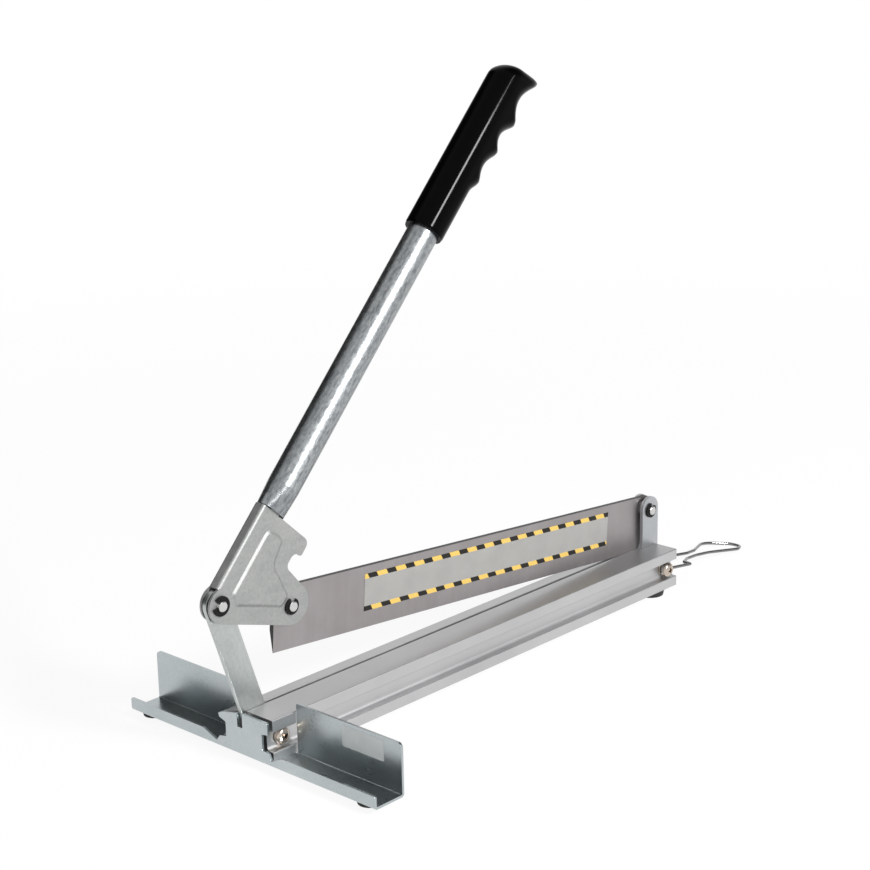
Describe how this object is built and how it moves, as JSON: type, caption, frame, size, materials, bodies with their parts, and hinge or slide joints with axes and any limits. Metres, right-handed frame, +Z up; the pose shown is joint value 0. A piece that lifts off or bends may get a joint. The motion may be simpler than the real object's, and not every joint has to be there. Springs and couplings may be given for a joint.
{
  "type": "vinyl floor cutter",
  "caption": "Guillotine cutter for vinyl floor tiles: aluminium bed with a sheet-steel fence, hinged blade, long lever handle on a link, and a wire bail.",
  "frame": {"origin": "centre of the box's footprint, on the surface under the feet", "axes": "+X from the fence to the hinge along the bed, +Y to the left of the cut, +Z up"},
  "size_m": [0.5036, 0.2038, 0.37],
  "materials": {
    "extrusion": "satin, fine lines along the bed",
    "fence_sheet": "galvanised sheet, cool mottled zinc",
    "zinc_plate": "zinc-plated pressed steel, semi-matt",
    "tube_zinc": "zinc-plated drawn tube with faint streaks",
    "blade_steel": "ground tool steel with a bevelled edge",
    "pin_steel": "bright turned steel",
    "bright_screws": "bright nickel plate",
    "clip_steel": "black phosphate",
    "foot_rubber": "matt black rubber",
    "grip_vinyl": "dipped glossy black vinyl",
    "wire_steel": "bright drawn wire"
  },
  "bodies": {
    "base": {"base_extrusion": "extrusion", "fence_channel": "fence_sheet", "fence_screws": "bright_screws", "front_feet": "foot_rubber", "rear_feet": "foot_rubber", "hinge_post_right": "zinc_plate", "hinge_post_left": "zinc_plate", "post_spacer": "bright_screws", "hinge_pin": "pin_steel", "hinge_pin_clips": "clip_steel", "hinge_spacers": "pin_steel", "post_screw": "bright_screws", "post_screw_washers": "bright_screws", "post_screw_nut": "bright_screws", "link_screw": "bright_screws", "link_screw_washers": "bright_screws", "link_screw_nut": "bright_screws"},
    "blade": {"blade": "blade_steel"},
    "handle": {"handle_bracket": "zinc_plate", "handle_tube": "tube_zinc", "handle_grip": "grip_vinyl", "lever_pin": "pin_steel", "lever_pin_clips": "clip_steel", "lever_pin_washers": "pin_steel", "link_pin": "pin_steel", "link_pin_clips": "clip_steel", "link_pin_washers": "pin_steel"},
    "link": {"link_bar": "zinc_plate"},
    "bail": {"wire_bail": "wire_steel"}
  },
  "joints": [
    {"name": "blade_hinge", "type": "hinge", "parent": "base", "child": "blade", "pos_m": [0.14217, 0.00435, 0.0564], "axis": [0, -1, 0], "range_deg": [0, 5.2]},
    {"name": "handle_lever", "type": "hinge", "parent": "blade", "child": "handle", "pos_m": [-0.19143, 0.00435, 0.0836], "axis": [0, 1, 0], "range_deg": [0, 51.5]},
    {"name": "link_swing", "type": "hinge", "parent": "handle", "child": "link", "pos_m": [-0.24346, 0.00435, 0.09876], "axis": [0, -1, 0], "range_deg": [0, 30.5]},
    {"name": "bail_swing", "type": "hinge", "parent": "base", "child": "bail", "pos_m": [0.14087, 0.00435, 0.0172], "axis": [0, -1, 0], "range_deg": [0, 26]}
  ],
  "couplings": [
    {"joint": "blade_hinge", "follows": "handle_lever", "ratio": 0.1005},
    {"joint": "link_swing", "follows": "handle_lever", "ratio": 0.5875}
  ]
}
